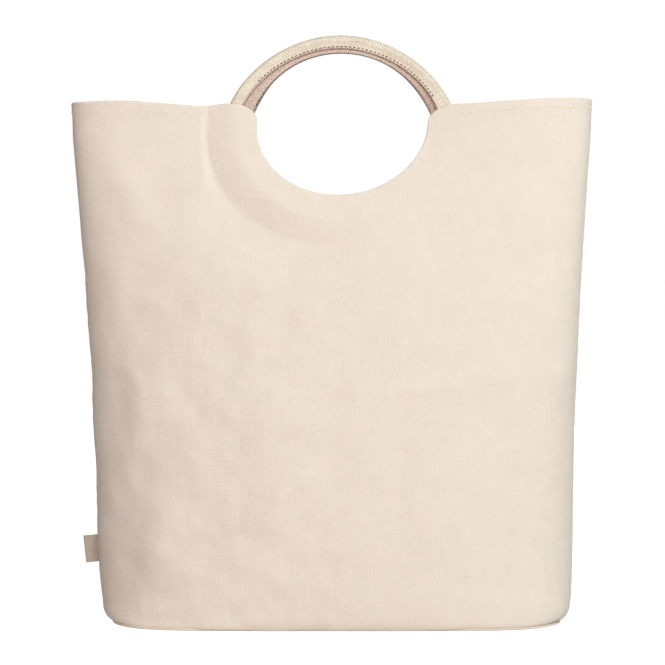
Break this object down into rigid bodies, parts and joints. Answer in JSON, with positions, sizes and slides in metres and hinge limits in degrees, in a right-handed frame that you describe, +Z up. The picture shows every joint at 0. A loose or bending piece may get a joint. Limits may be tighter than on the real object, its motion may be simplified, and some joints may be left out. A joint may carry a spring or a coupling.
{
  "type": "tote bag",
  "caption": "Open-topped natural canvas tote with an oval base, a round hand hole in each panel, short folded webbing handles and a blank side tag; stands by itself.",
  "frame": {"origin": "middle of the base's underside, under the middle of the bag's box", "axes": "+Z up, the front of the bag faces -Y, the width runs along X with the tag at -X"},
  "size_m": [0.4788, 0.1764, 0.5383],
  "materials": {
    "canvas": "undyed cotton canvas, plain weave with small seed flecks, matt",
    "webbing": "undyed cotton webbing, ribbed weave, matt",
    "tape": "grey-beige woven tape, blank, matt"
  },
  "bodies": {
    "root": {"front_panel": "canvas", "back_panel": "canvas", "base_panel": "canvas", "front_handle": "webbing", "back_handle": "webbing", "side_label": "tape"}
  },
  "joints": []
}
